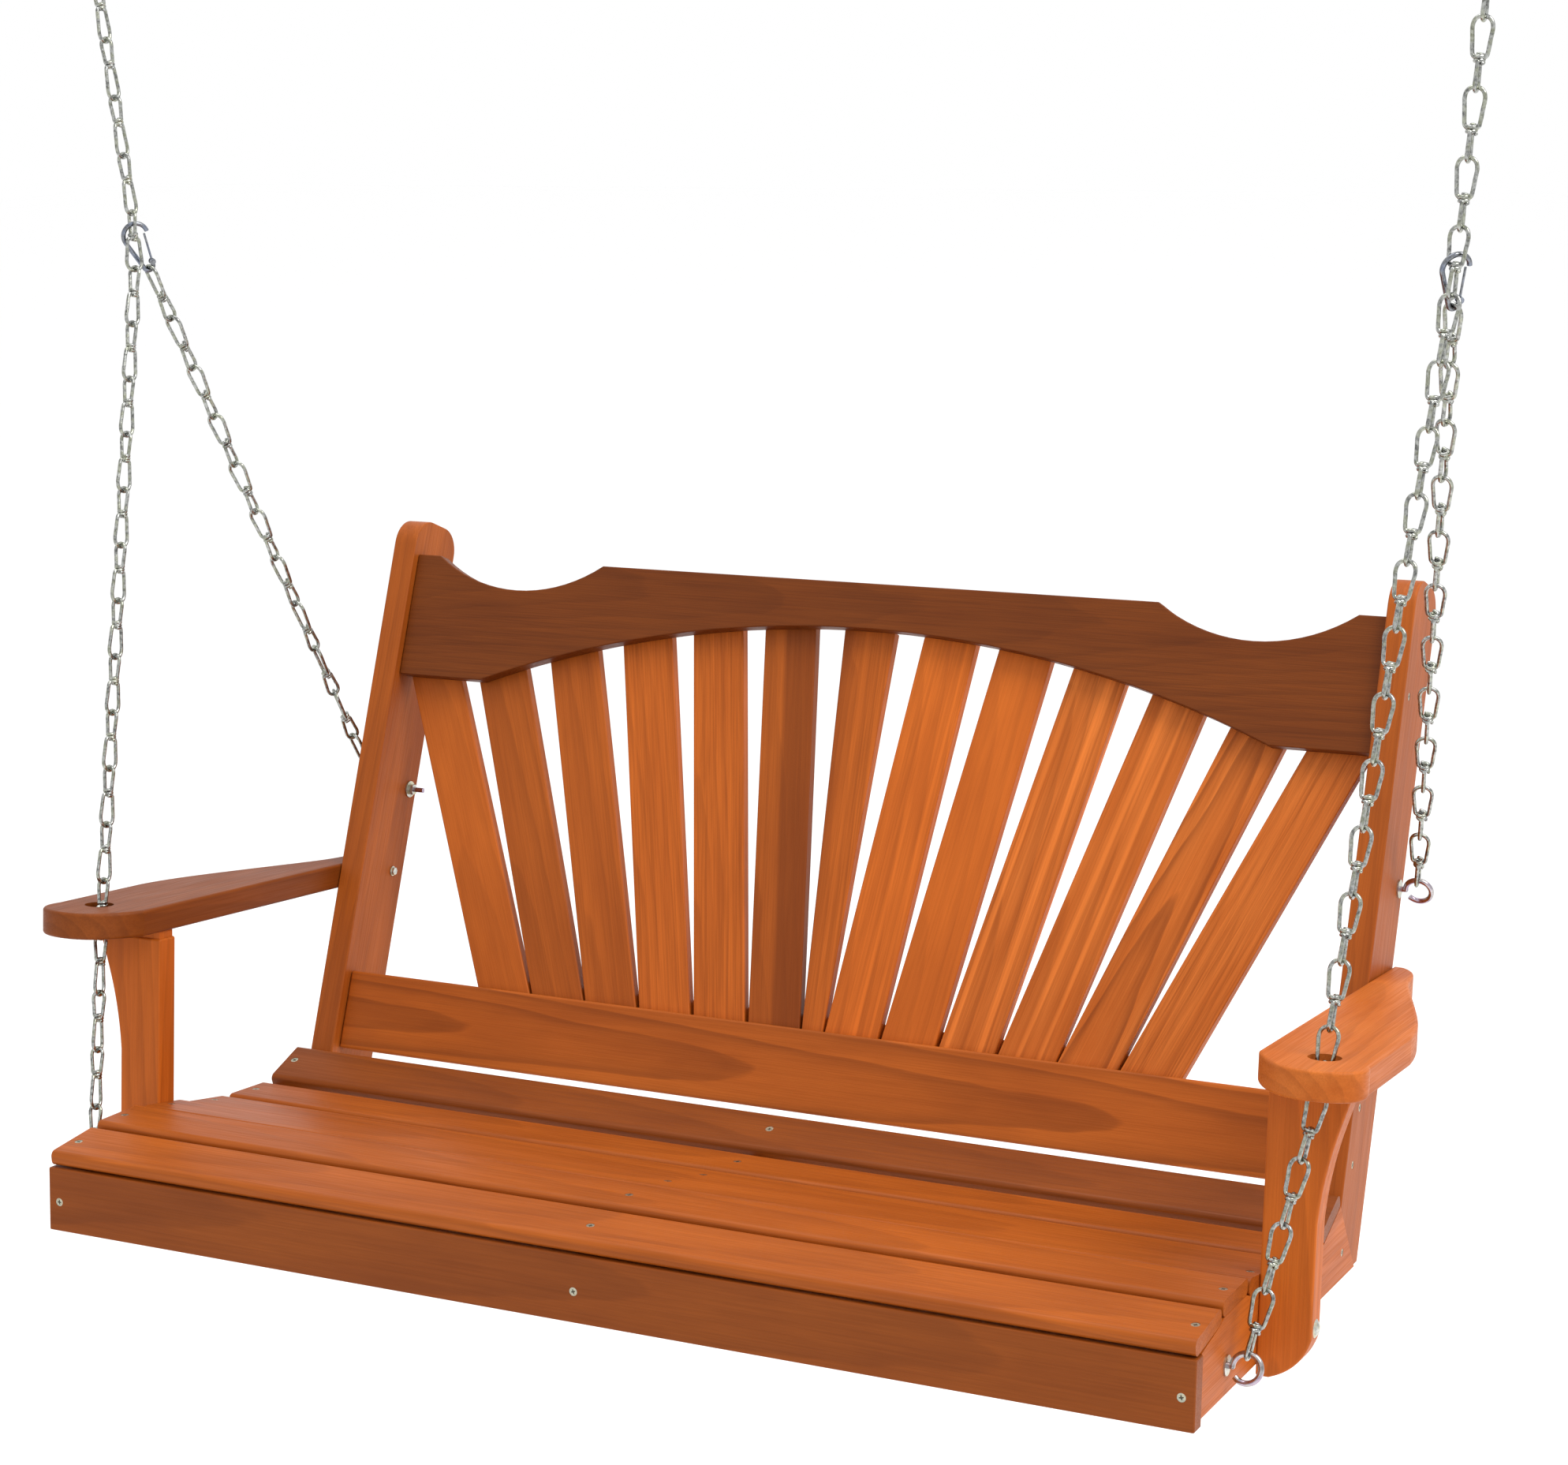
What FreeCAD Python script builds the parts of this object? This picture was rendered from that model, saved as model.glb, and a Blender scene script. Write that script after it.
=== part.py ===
# Porch swing: slatted seat with a fan back and flat arms, carried by two pairs of knotted
# double-loop chains that meet above each arm and rise as one chain to a ceiling hook.
# Units mm. Origin midway between the two ceiling hooks, in the plane of the ceiling.
# +X to the right as seen from the front, +Y to the back, +Z up.

import FreeCAD, Part
import math
import os

os.makedirs("parts", exist_ok=True)

IN = 25.4

# ---- seat frame, in the apron's own frame (x across, y back, z up along the apron) ----
apron_half = 24.0 * IN
apron_thk = 0.75 * IN
apron_drop = 2.58 * IN
slat_half = 23.92 * IN
slat_thk = 0.62 * IN
slat_round = 6.0
rail_out = 23.93 * IN
rail_in = 23.18 * IN
rail_bottom = -2.35 * IN
board_round = 1.6

# seat slats: middle of the top face (y, z), slope in degrees, width
slats = [
    (1.44 * IN, 0.83 * IN, 8.0, 2.82 * IN),
    (4.46 * IN, 1.19 * IN, 1.2, 2.80 * IN),
    (7.50 * IN, 0.90 * IN, -7.4, 2.80 * IN),
    (10.55 * IN, 0.36 * IN, -7.8, 2.80 * IN),
    (13.62 * IN, 0.12 * IN, -1.6, 2.78 * IN),
    (16.50 * IN, 0.70 * IN, 22.5, 2.42 * IN),
]

# ---- back, in its own reclined frame (x across, n into the back, s up the slope) ----
recline = 17.59
back_foot = 18.145 * IN
stile_out = 23.83 * IN
stile_in = 22.70 * IN
stile_depth = 3.5 * IN
stile_top = 25.62 * IN
between = 22.68 * IN
brace_half = 15.6 * IN
fan_count = 6
fan_width = 2.42 * IN
fan_bottom = 3.7 * IN
fan_top = 22.0 * IN
fan_ref = 4.56 * IN
fan_front = 1.16 * IN
fan_thk = 0.53 * IN
fan_foot = [1.80, 4.41, 7.05, 9.71, 12.36, 15.09]
fan_angle = [6.5, 9.5, 12.5, 16.4, 20.7, 23.7]

# ---- arms and posts ----
arm_top = 9.36 * IN
arm_slope = math.degrees(math.atan(0.0323))
arm_thk = 1.1 * IN
arm_in = 23.86 * IN
hole_x = 26.20 * IN
hole_y = 6.36 * IN
hole_r = 0.60 * IN
post_y = 7.2 * IN
post_thk = 1.1 * IN
post_lean = 1.6

# ---- hardware ----
wire_r = 1.97
small_len = 27.9
small_half = 6.43
big_half = 8.93
knot_r = 4.5
knot_h = 7.0
gap = 0.1
joint_gap = 0.3
eye_wire = 2.8
eye_ring = 13.1
snap_wire = 2.5
snap_len = 54.0
snap_bow = 13.2
snap_foot = 5.2
hook_wire = 3.2
hook_bend = 13.0
hook_drop = 45.0
hook_screw = 38.0

# ---- hanging geometry ----
hang_tilt = 6.21
upper_links = 5
upper_pitch = 60.1
upper_lean = 5.2
pivot_a = FreeCAD.Vector(28.23 * IN, 11.90 * IN, 37.97 * IN)
link_foot_a = FreeCAD.Vector(28.03 * IN, 11.79 * IN, 35.55 * IN)
bend_a = FreeCAD.Vector(26.08 * IN, 6.27 * IN, 8.00 * IN)
front_eye_a = FreeCAD.Vector(24.66 * IN, 3.62 * IN, -1.30 * IN)
rear_eye_a = FreeCAD.Vector(24.63 * IN, 24.95 * IN, 11.85 * IN)

V = FreeCAD.Vector
X = V(1, 0, 0)
Y = V(0, 1, 0)
Z = V(0, 0, 1)


def frame_matrix(origin, ex, ez):
    """Matrix that carries local x to ex, local z to ez and the local origin to origin."""
    ez = V(ez).normalize()
    ex = V(ex) - ez * ez.dot(ex)
    ex.normalize()
    ey = ez.cross(ex)
    return FreeCAD.Matrix(
        ex.x, ey.x, ez.x, origin.x,
        ex.y, ey.y, ez.y, origin.y,
        ex.z, ey.z, ez.z, origin.z,
        0, 0, 0, 1)


def turned(direction, axis, degrees):
    return FreeCAD.Rotation(axis, degrees).multVec(direction)


def mirror_x(v):
    return V(-v.x, v.y, v.z)


def extruded(edges, vector):
    return Part.Face(Part.Wire(edges)).extrude(vector)


def polygon(points, vector):
    return Part.Face(Part.makePolygon(points + [points[0]])).extrude(vector)


def line(a, b):
    return Part.LineSegment(a, b).toShape()


def arc(a, b, c):
    return Part.Arc(a, b, c).toShape()


def curve(points):
    spline = Part.BSplineCurve()
    spline.interpolate(points)
    return spline.toShape()


def tube(edges, radius, start, tangent):
    profile = Part.Wire(Part.makeCircle(radius, start, tangent))
    return Part.Wire(edges).makePipeShell([profile], True, False)


def rounded(shape, radius):
    return shape.makeFillet(radius, shape.Edges)


def rounded_long(shape, radius, direction):
    """Round only the straight edges that run along a direction."""
    picked = []
    for edge in shape.Edges:
        if edge.Curve.TypeId == "Part::GeomLine":
            run = edge.tangentAt(edge.FirstParameter)
            if abs(run.dot(direction)) > 0.999:
                picked.append(edge)
    return shape.makeFillet(radius, picked)


def screw_along(point, direction, length, head_r=4.2, shank_r=2.0):
    """Countersunk screw: head face at point, driven along direction."""
    d = V(direction).normalize()
    head = Part.makeCone(head_r, shank_r, 2.6, point, d)
    shank = Part.makeCylinder(shank_r, length - 6.0, point, d)
    tip = Part.makeCone(shank_r, 0.4, 6.0, point + d * (length - 6.0), d)
    return head.fuse([shank, tip]).removeSplitter()


def screw_well(point, direction, radius=4.2):
    """Space in front of a countersunk head, open to the board's face."""
    d = V(direction).normalize()
    return Part.makeCylinder(radius, 3.0, point - d * 3.0, d)


def hex_nut(centre, direction, across, thick, bore_r):
    d = V(direction).normalize()
    side = across / math.sqrt(3.0)
    across_v = Y if abs(d.dot(X)) > 0.5 else X
    points = []
    for i in range(6):
        points.append(centre + turned(across_v, d, 60.0 * i) * side)
    nut = polygon(points, d * thick)
    return nut.cut(Part.makeCylinder(bore_r, thick, centre, d))


def washer(centre, direction, outer_r, bore_r, thick):
    ring = Part.makeCylinder(outer_r, thick, centre, direction)
    return ring.cut(Part.makeCylinder(bore_r, thick, centre, direction))


def group(solids):
    return Part.makeCompound(solids)


# ======================= seat frame =======================

parts = {}

apron = Part.makeBox(2 * apron_half, apron_thk, apron_drop, V(-apron_half, 0, -apron_drop))
parts["front_apron"] = rounded(apron, board_round)


def slat_point(slat, along, down):
    """Point in a slat's cross-section: along its width, down through its thickness."""
    y, z, slope, width = slat
    a = math.radians(slope)
    return V(0, y + along * math.cos(a) + down * math.sin(a), z + along * math.sin(a) - down * math.cos(a))


for index, slat in enumerate(slats):
    width = slat[3]
    box = Part.makeBox(2 * slat_half, width, slat_thk, V(-slat_half, -width / 2, -slat_thk))
    box = rounded_long(box, slat_round, X)
    box.rotate(V(0, 0, 0), X, slat[2])
    box.translate(V(0, slat[0], slat[1]))
    parts["seat_slat_%d" % (index + 1)] = box

# Rails under the slats: the top edge follows every slat's underside.
top_line = []
for slat in slats:
    reach = slat[3] / 2 - slat_round * 0.5
    top_line.append(slat_point(slat, -reach, slat_thk))
    top_line.append(slat_point(slat, reach, slat_thk))
front_top = top_line[0]
rail_profile = [V(0, apron_thk, rail_bottom)]
rail_profile.append(V(0, apron_thk, front_top.z - 1.0))
for point in top_line:
    if point.y > apron_thk + 4.0:
        rail_profile.append(point)
rail_profile.append(V(0, 17.80 * IN, 0.62 * IN))
rail_profile.append(V(0, 20.2 * IN, -2.48 * IN))


def rail_board(x0, x1, profile):
    points = [V(x0, p.y, p.z) for p in profile]
    return polygon(points, V(x1 - x0, 0, 0))


rail_right = rail_board(rail_in, rail_out, rail_profile)
rail_left = rail_board(-rail_out, -rail_in, rail_profile)
brace_profile = rail_profile[:-2] + [V(0, 17.3 * IN, -1.2 * IN), V(0, 16.2 * IN, rail_bottom)]
centre_brace = rail_board(-apron_thk / 2, apron_thk / 2, brace_profile)

# ======================= back =======================

back_frame = frame_matrix(V(0, back_foot, 0), X, V(0, math.sin(math.radians(recline)),
                                                    math.cos(math.radians(recline))))


def back_board(edges, front, thick):
    board = extruded(edges, V(0, thick, 0))
    board.translate(V(0, front, 0))
    return board


def stile_shape(x0, x1):
    bottom = -3.6 * IN
    depth = stile_depth
    top = stile_top
    corner_f = 1.25 * IN
    corner_b = 1.1 * IN
    k = math.sqrt(0.5)
    f_mid = V(x0, corner_f * (1 - k), top - corner_f * (1 - k))
    b_mid = V(x0, depth - corner_b * (1 - k), top - corner_b * (1 - k))
    edges = [
        line(V(x0, 0, bottom), V(x0, 0, top - corner_f)),
        arc(V(x0, 0, top - corner_f), f_mid, V(x0, corner_f, top)),
        line(V(x0, corner_f, top), V(x0, depth - corner_b, top)),
        arc(V(x0, depth - corner_b, top), b_mid, V(x0, depth, top - corner_b)),
        line(V(x0, depth, top - corner_b), V(x0, depth, bottom)),
        line(V(x0, depth, bottom), V(x0, 0, bottom)),
    ]
    stile = extruded(edges, V(x1 - x0, 0, 0))
    stile = rounded(stile, board_round).transformed(back_frame)
    floor_cut = Part.makeBox(3 * IN, 20 * IN, 6 * IN, V(min(x0, x1) - IN, 10 * IN, -8.5 * IN))
    return stile.cut(floor_cut)


stile_right = stile_shape(stile_in, stile_out).cut(rail_right)
stile_left = stile_shape(-stile_out, -stile_in).cut(rail_left)

# Top rail: two scallops above, one long arch below.
top_end = 23.93 * IN
top_dip = 22.57 * IN
low_end = 18.33 * IN
apex = 21.94 * IN
outer = between
sc_out = 21.5 * IN
sc_in = 13.05 * IN
sc_mid = (sc_out + sc_in) / 2
arch = 18.45 * IN
top_edges = [
    line(V(-outer, 0, low_end), V(-outer, 0, top_end)),
    line(V(-outer, 0, top_end), V(-sc_out, 0, top_end)),
    arc(V(-sc_out, 0, top_end), V(-sc_mid, 0, top_dip), V(-sc_in, 0, top_end)),
    line(V(-sc_in, 0, top_end), V(sc_in, 0, top_end)),
    arc(V(sc_in, 0, top_end), V(sc_mid, 0, top_dip), V(sc_out, 0, top_end)),
    line(V(sc_out, 0, top_end), V(outer, 0, top_end)),
    line(V(outer, 0, top_end), V(outer, 0, low_end)),
    line(V(outer, 0, low_end), V(arch, 0, low_end)),
    arc(V(arch, 0, low_end), V(0, 0, apex), V(-arch, 0, low_end)),
    line(V(-arch, 0, low_end), V(-outer, 0, low_end)),
]
top_rail = rounded(back_board(top_edges, 0.38 * IN, 0.76 * IN), board_round)
parts["top_back_rail"] = top_rail.transformed(back_frame)

low_rail = Part.makeBox(2 * between, 0.66 * IN, 3.5 * IN, V(-between, 0.48 * IN, 1.12 * IN))
low_rail = rounded(low_rail, 3.0).transformed(back_frame)

brace = Part.makeBox(2 * brace_half, 0.6 * IN, 2.6 * IN, V(-brace_half, 1.71 * IN, 2.7 * IN))
back_brace = rounded(brace, board_round).transformed(back_frame)


def fan_slat(foot_x, angle, width):
    length = 46 * IN
    box = Part.makeBox(width, fan_thk, length, V(-width / 2, fan_front, -length / 2))
    box = rounded_long(box, board_round, Z)
    box.rotate(V(0, 0, 0), Y, angle)
    box.translate(V(foot_x, 0, fan_ref))
    keep = Part.makeBox(2 * between - 1.0, 4 * IN, fan_top - fan_bottom,
                        V(-between + 0.5, 0, fan_bottom))
    return box.common(keep).transformed(back_frame)


def centre_slat():
    low = 0.49 * IN
    high = 1.19 * IN
    slope = (high - low) / (17.52 * IN)
    w0 = low + slope * (fan_bottom - fan_ref)
    w1 = low + slope * (fan_top - fan_ref)
    points = [V(-w0, fan_front, fan_bottom), V(w0, fan_front, fan_bottom),
              V(w1, fan_front, fan_top), V(-w1, fan_front, fan_top)]
    return rounded(polygon(points, V(0, fan_thk, 0)), board_round).transformed(back_frame)


fan = []
for k in reversed(range(fan_count)):
    fan.append(fan_slat(-fan_foot[k] * IN, -fan_angle[k], fan_width))
fan.append(centre_slat())
for k in range(fan_count):
    fan.append(fan_slat(fan_foot[k] * IN, fan_angle[k], fan_width))

# ======================= arms and posts =======================


def arm_shape():
    front = [(23.86, 6.30), (24.36, 5.19), (25.20, 4.33), (26.27, 4.04), (27.45, 4.36), (27.95, 5.90)]
    back = [(27.95, 11.5), (27.55, 14.0), (26.90, 16.3), (26.30, 18.2), (25.62, 20.3), (25.12, 22.3),
            (24.92, 23.6), (24.30, 24.55)]
    f = [V(x * IN, y * IN, 0) for x, y in front]
    b = [V(x * IN, y * IN, 0) for x, y in back]
    end = V(arm_in, 24.62 * IN, 0)
    edges = [curve(f), line(f[-1], b[0]), curve(b), line(b[-1], end), line(end, f[0])]
    arm = extruded(edges, V(0, 0, -arm_thk))
    arm = rounded(arm, 3.2)
    arm = arm.cut(Part.makeCylinder(hole_r, arm_thk, V(hole_x, hole_y, -arm_thk), Z))
    arm.rotate(V(0, 6.08 * IN, 0), X, -arm_slope)
    arm.translate(V(0, 0, arm_top))
    return arm


def post_shape():
    y = 0.0
    outer_pts = [(25.92, 3.0), (26.08, 4.4), (26.32, 5.6), (26.66, 6.8), (27.0, 7.9)]
    o = [V(x * IN, y, z * IN) for x, z in outer_pts]
    inner_top = V(rail_out, y, 7.9 * IN)
    toe = [V(25.92 * IN, y, -1.2 * IN), V(25.44 * IN, y, -2.12 * IN), V(24.4 * IN, y, -2.8 * IN)]
    edges = [
        line(V(rail_out, y, -2.8 * IN), inner_top),
        line(inner_top, o[-1]),
        curve(list(reversed(o))),
        line(o[0], toe[0]),
        curve(toe),
        line(toe[-1], V(rail_out, y, -2.8 * IN)),
    ]
    post = extruded(edges, V(0, post_thk, 0))
    post = rounded(post, 2.4)
    post.rotate(V(0, 0, 0), X, -post_lean)
    post.translate(V(0, post_y, 0))
    return post


def under_arm(shape):
    """Trim a post's top to the sloping underside of the arm."""
    keep = Part.makeBox(10 * IN, 10 * IN, 20 * IN, V(20 * IN, 3 * IN, -20 * IN - arm_thk))
    keep.rotate(V(0, 6.08 * IN, 0), X, -arm_slope)
    keep.translate(V(0, 0, arm_top))
    return shape.common(keep)


def post_full():
    post = post_shape()
    riser = Part.makeBox(27.0 * IN - rail_out - 2.4, post_thk - 4.8, 1.2 * IN,
                         V(rail_out + 2.4, post_y + 2.4 + 0.22 * IN, 7.6 * IN))
    return under_arm(post.fuse(riser)).removeSplitter()


def flipped(shape):
    return shape.mirror(V(0, 0, 0), X)


arm_right = arm_shape()
post_right = post_full()
arm_left = flipped(arm_right)
post_left = flipped(post_right)

# ======================= chains =======================


def loop(length, half, lateral, up):
    """Wire loop from the knot at the origin to length along up, lateral giving its plane."""
    side = [(2.1, 0.0), (0.5 * half + 1.3, 2.4), (0.78 * half, 6.0),
            (0.90 * half, 0.5 * (6.0 + length - half)), (half, length - half),
            (0.7071 * half, length - 0.2929 * half)]
    points = [lateral * -a + up * b for a, b in side]
    points.append(up * length)
    points += [lateral * a + up * b for a, b in reversed(side)]
    path = curve(points)
    start = path.valueAt(path.FirstParameter)
    return tube([path], wire_r, start, path.tangentAt(path.FirstParameter))


def chain_link(upper_len, upper_half, lower_len, lower_half):
    """One knotted double-loop link: upper loop in the xz plane, lower loop across it."""
    knot = Part.makeCylinder(knot_r, knot_h, V(0, 0, -knot_h / 2), Z)
    knot = knot.makeFillet(1.6, [knot.Edges[0], knot.Edges[2]])
    up = loop(upper_len, upper_half, X, Z)
    down = loop(lower_len, lower_half, Y, V(0, 0, -1))
    return knot.fuse([up, down]).removeSplitter()


def chain_run(start, end, count, turns, big_above):
    """Equal links hung between two contact points, start being the lower one."""
    run = end - start
    pitch = run.Length / count
    u = V(run).normalize()
    big_len = pitch + 2 * wire_r + gap - small_len
    if big_above:
        link = chain_link(big_len, big_half, small_len, small_half)
        low = small_len
    else:
        link = chain_link(small_len, small_half, big_len, big_half)
        low = big_len
    out = []
    for k in range(count):
        knot = start + u * (k * pitch - wire_r - gap / 2 + low)
        out.append(link.transformed(frame_matrix(knot, turned(X, u, turns[k]), u)))
    return out


def side_v(v, s):
    return V(v.x * s, v.y, v.z)


def eye_top(eye, u):
    """Wire centre of the eye ring where the chain pulls it, and the ring's up direction."""
    flat = V(0, u.y, u.z).normalize()
    return eye + flat * eye_ring, flat


tilt = FreeCAD.Rotation(X, -hang_tilt)
lean = math.radians(upper_lean)
upper_span = upper_links * upper_pitch
pivot_top_z = -hook_drop + hook_wire + joint_gap + wire_r
pivot_low_z = pivot_top_z - (upper_span + wire_r + joint_gap) * math.cos(lean)
shift = V(0, 0, pivot_low_z) - tilt.multVec(pivot_a)
shift.x = 0.0


def to_row(shape):
    moved = shape.copy()
    moved.Placement = FreeCAD.Placement(shift, tilt).multiply(moved.Placement)
    return moved


hook_x = pivot_a.x + (upper_span + wire_r + joint_gap) * math.sin(lean)

chains = {}
snaps = {}
eyes = {}
for name, s in (("left", -1), ("right", 1)):
    big_above = s > 0
    pivot = side_v(pivot_a, s)
    foot = side_v(link_foot_a, s)
    u_j = (pivot - foot).normalize()
    top_contact = pivot - u_j * (wire_r + gap / 2)
    bend = side_v(bend_a, s)
    eye_f = side_v(front_eye_a, s)
    u_low = (bend - eye_f).normalize()
    ring_f, flat_f = eye_top(eye_f, u_low)
    start_f = ring_f - u_low * (eye_wire + gap / 2)
    lower_turn = [0, -4 * s, -6 * s, -6 * s]
    upper_turn = [-8 if s < 0 else 0] * 12
    junction_turn = [-25] if s < 0 else [-12]
    front = chain_run(start_f, bend, 4, lower_turn, big_above)
    front += chain_run(bend, foot, 12, upper_turn, big_above)
    front += chain_run(foot, top_contact, 1, junction_turn, big_above)
    parts["%s_front_chain" % name] = group(front)

    # rear chain ends in a snap hook whose bow passes through the junction link
    eye_r = side_v(rear_eye_a, s)
    snap_turn = 52.0 if s < 0 else 40.0
    bow = pivot - u_j * (14.0 if s < 0 else 25.0)
    u_rear = (bow - eye_r).normalize()
    across = turned(X, u_rear, snap_turn)
    across = across - u_rear * u_rear.dot(across)
    bow = bow + across.normalize() * (-2.0 if s < 0 else 0.0)
    ring_r, flat_r = eye_top(eye_r, u_rear)
    start_r = ring_r - u_rear * (eye_wire + gap / 2)
    u_rear = (bow - start_r).normalize()
    snap_foot_pt = bow - u_rear * snap_len
    end_r = snap_foot_pt + u_rear * (snap_wire + gap / 2)
    rear_turn = [-20, -44, -32, -15, -5, 4, 8, 6, 2, -4, -18] if s < 0 else \
        [0, 6, 10, 10, 8, 4, 0, -6, -12, -18, -24]
    parts["%s_rear_chain" % name] = group(chain_run(start_r, end_r, 11, rear_turn, True))
    snaps[name] = (snap_foot_pt, u_rear, snap_turn)
    eyes[name] = (eye_f, flat_f, eye_r, flat_r)

# ---- snap hooks: local u up, w across, pin along the third axis ----


def snap_body():
    """Bent wire body in the xz plane: foot bend, long spine on -x, bow, short nose on +x."""
    lift = snap_len - snap_bow - snap_foot
    lay = math.asin((snap_bow - snap_foot) / lift)
    foot_c = V(0, 0, snap_foot)
    bow_c = V(0, 0, snap_len - snap_bow)
    left_n = V(-math.cos(lay), 0, -math.sin(lay))
    stub_n = V(math.cos(math.radians(8)), 0, -math.sin(math.radians(8)))
    a = foot_c + stub_n * snap_foot
    b = foot_c + V(0, 0, -snap_foot)
    c = foot_c + left_n * snap_foot
    d = bow_c + left_n * snap_bow
    e = bow_c + V(0, 0, snap_bow)
    f = bow_c + V(1, 0, 0) * snap_bow
    edges = [arc(a, b, c), line(c, d), arc(d, e, f)]
    start_dir = V(-stub_n.z, 0, stub_n.x)
    body = tube(edges, snap_wire, a, start_dir)
    return body, a, f


body, gate_foot, gate_tip = snap_body()
ear_centre = gate_foot + V(0.4, 0, 3.2)
ear = Part.makeCylinder(3.4, 5.6, ear_centre - V(0, 2.8, 0), Y)
slot = Part.makeBox(9.0, 2.8, 9.0, ear_centre - V(4.5, 1.4, 3.0))
pin_hole = Part.makeCylinder(1.05, 8.0, ear_centre - V(0, 4.0, 0), Y)
snap_solid = body.fuse(ear).cut(slot).cut(pin_hole)
gate_dir = (gate_tip + V(-3.6, 0, -0.4)) - ear_centre
gate_len = gate_dir.Length
gate_dir.normalize()
gate = Part.makeCylinder(1.2, gate_len - 1.0, ear_centre, gate_dir)
gate_ear = Part.makeCylinder(2.2, 2.2, ear_centre - V(0, 1.1, 0), Y)
gate_solid = gate.fuse(gate_ear).cut(Part.makeCylinder(1.15, 8.0, ear_centre - V(0, 4.0, 0), Y))
pin_solid = Part.makeCylinder(1.0, 6.6, ear_centre - V(0, 3.3, 0), Y)
snap_solid = snap_solid.removeSplitter()

for name in ("left", "right"):
    foot_pt, u, turn = snaps[name]
    m = frame_matrix(foot_pt, turned(X, u, turn), u)
    parts["%s_snap_hook" % name] = snap_solid.transformed(m)
    parts["%s_snap_gate" % name] = gate_solid.transformed(m)
    parts["%s_snap_pin" % name] = pin_solid.transformed(m)

# ---- eye bolts ----


def eye_bolt(eye, flat, s, inner_x):
    """Open-eye bolt: shank along x through a board, ring in the plane of x and flat."""
    m = frame_matrix(V(0, 0, 0), X, flat)
    ring = []
    a0 = math.radians(180.0)
    a1 = math.radians(35.0)
    a2 = math.radians(-138.0)
    p0 = V(math.cos(a0), 0, math.sin(a0)) * eye_ring
    p1 = V(math.cos(a1), 0, math.sin(a1)) * eye_ring
    p2 = V(math.cos(a2), 0, math.sin(a2)) * eye_ring
    ring = tube([arc(p0, p1, p2)], eye_wire, p0, V(0, 0, 1))
    shank = Part.makeCylinder(eye_wire, abs(eye.x) - eye_ring - inner_x, V(-eye_ring, 0, 0), V(-1, 0, 0))
    ball = Part.makeSphere(eye_wire, V(-eye_ring, 0, 0))
    bolt = ring.fuse([shank, ball]).removeSplitter()
    bolt = bolt.transformed(m)
    bolt.translate(V(abs(eye.x), eye.y, eye.z))
    if s < 0:
        bolt = flipped(bolt)
    return bolt


washers = []
nuts = []
bolt_holes = {"rail": [], "stile": []}
for name, s in (("left", -1), ("right", 1)):
    eye_f, flat_f, eye_r, flat_r = eyes[name]
    parts["%s_front_eye_bolt" % name] = eye_bolt(eye_f, flat_f, s, rail_in - 9.0)
    parts["%s_rear_eye_bolt" % name] = eye_bolt(eye_r, flat_r, s, stile_in - 19.0)
    for eye, face_out, face_in, reach in ((eye_f, rail_out, rail_in, 1), (eye_r, stile_out, stile_in, 1)):
        c_out = V(s * face_out, eye.y, eye.z)
        c_in = V(s * face_in, eye.y, eye.z)
        washers.append(washer(c_out, V(s, 0, 0), 9.5, eye_wire, 1.6))
        washers.append(washer(c_in, V(-s, 0, 0), 9.5, eye_wire, 1.6))
        nuts.append(hex_nut(c_in - V(s * 1.6, 0, 0), V(-s, 0, 0), 11.1, 5.2, eye_wire))
parts["eye_bolt_washers"] = group(washers)
parts["eye_bolt_nuts"] = group(nuts)


def bore_x(x, y, z, radius, length):
    """Hole along x centred at x."""
    return Part.makeCylinder(radius, length, V(x - length / 2, y, z), X)


rail_right = rail_right.cut(bore_x(rail_out, front_eye_a.y, front_eye_a.z, eye_wire, 60))
rail_left = rail_left.cut(bore_x(-rail_out, front_eye_a.y, front_eye_a.z, eye_wire, 60))
stile_right = stile_right.cut(bore_x(stile_out, rear_eye_a.y, rear_eye_a.z, eye_wire, 80))
stile_left = stile_left.cut(bore_x(-stile_out, rear_eye_a.y, rear_eye_a.z, eye_wire, 80))

# ---- carriage bolts through post and rail, lag bolts through stile into arm ----
carriage_y = 7.72 * IN
carriage_z = -0.9 * IN
carriage_r = 4.0
post_face = 25.92 * IN
carriage = []
carriage_nuts = []
lags = []
lag_y = 23.46 * IN
lag_z = 8.25 * IN
for s in (-1, 1):
    dome = Part.makeSphere(12.0, V(s * (post_face - 8.2), carriage_y, carriage_z))
    keep = Part.makeCylinder(11.0, 8.0, V(s * post_face, carriage_y, carriage_z), V(s, 0, 0))
    head = dome.common(keep)
    shank = Part.makeCylinder(carriage_r, post_face - rail_in + 11.0,
                              V(s * post_face, carriage_y, carriage_z), V(-s, 0, 0))
    carriage.append(head.fuse(shank).removeSplitter())
    inner = V(s * rail_in, carriage_y, carriage_z)
    carriage_nuts.append(washer(inner, V(-s, 0, 0), 11.0, carriage_r, 1.8))
    carriage_nuts.append(hex_nut(inner - V(s * 1.8, 0, 0), V(-s, 0, 0), 14.3, 6.4, carriage_r))
    lag_face = V(s * stile_in, lag_y, lag_z)
    collar = Part.makeCylinder(5.6, 1.2, lag_face, V(-s, 0, 0))
    hexa = hex_nut(lag_face - V(s * 1.2, 0, 0), V(-s, 0, 0), 8.0, 3.0, 0.5)
    lag = Part.makeCylinder(2.8, 1.9 * IN + 4.2, lag_face - V(s * 4.2, 0, 0), V(s, 0, 0))
    lags.append(collar.fuse([hexa, lag]).removeSplitter())
parts["carriage_bolts"] = group(carriage)
parts["carriage_bolt_nuts"] = group(carriage_nuts)
parts["arm_lag_bolts"] = group(lags)
bolt_r = bore_x(rail_out, carriage_y, carriage_z, carriage_r, 160)
bolt_l = bore_x(-rail_out, carriage_y, carriage_z, carriage_r, 160)
rail_right = rail_right.cut(bolt_r)
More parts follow.
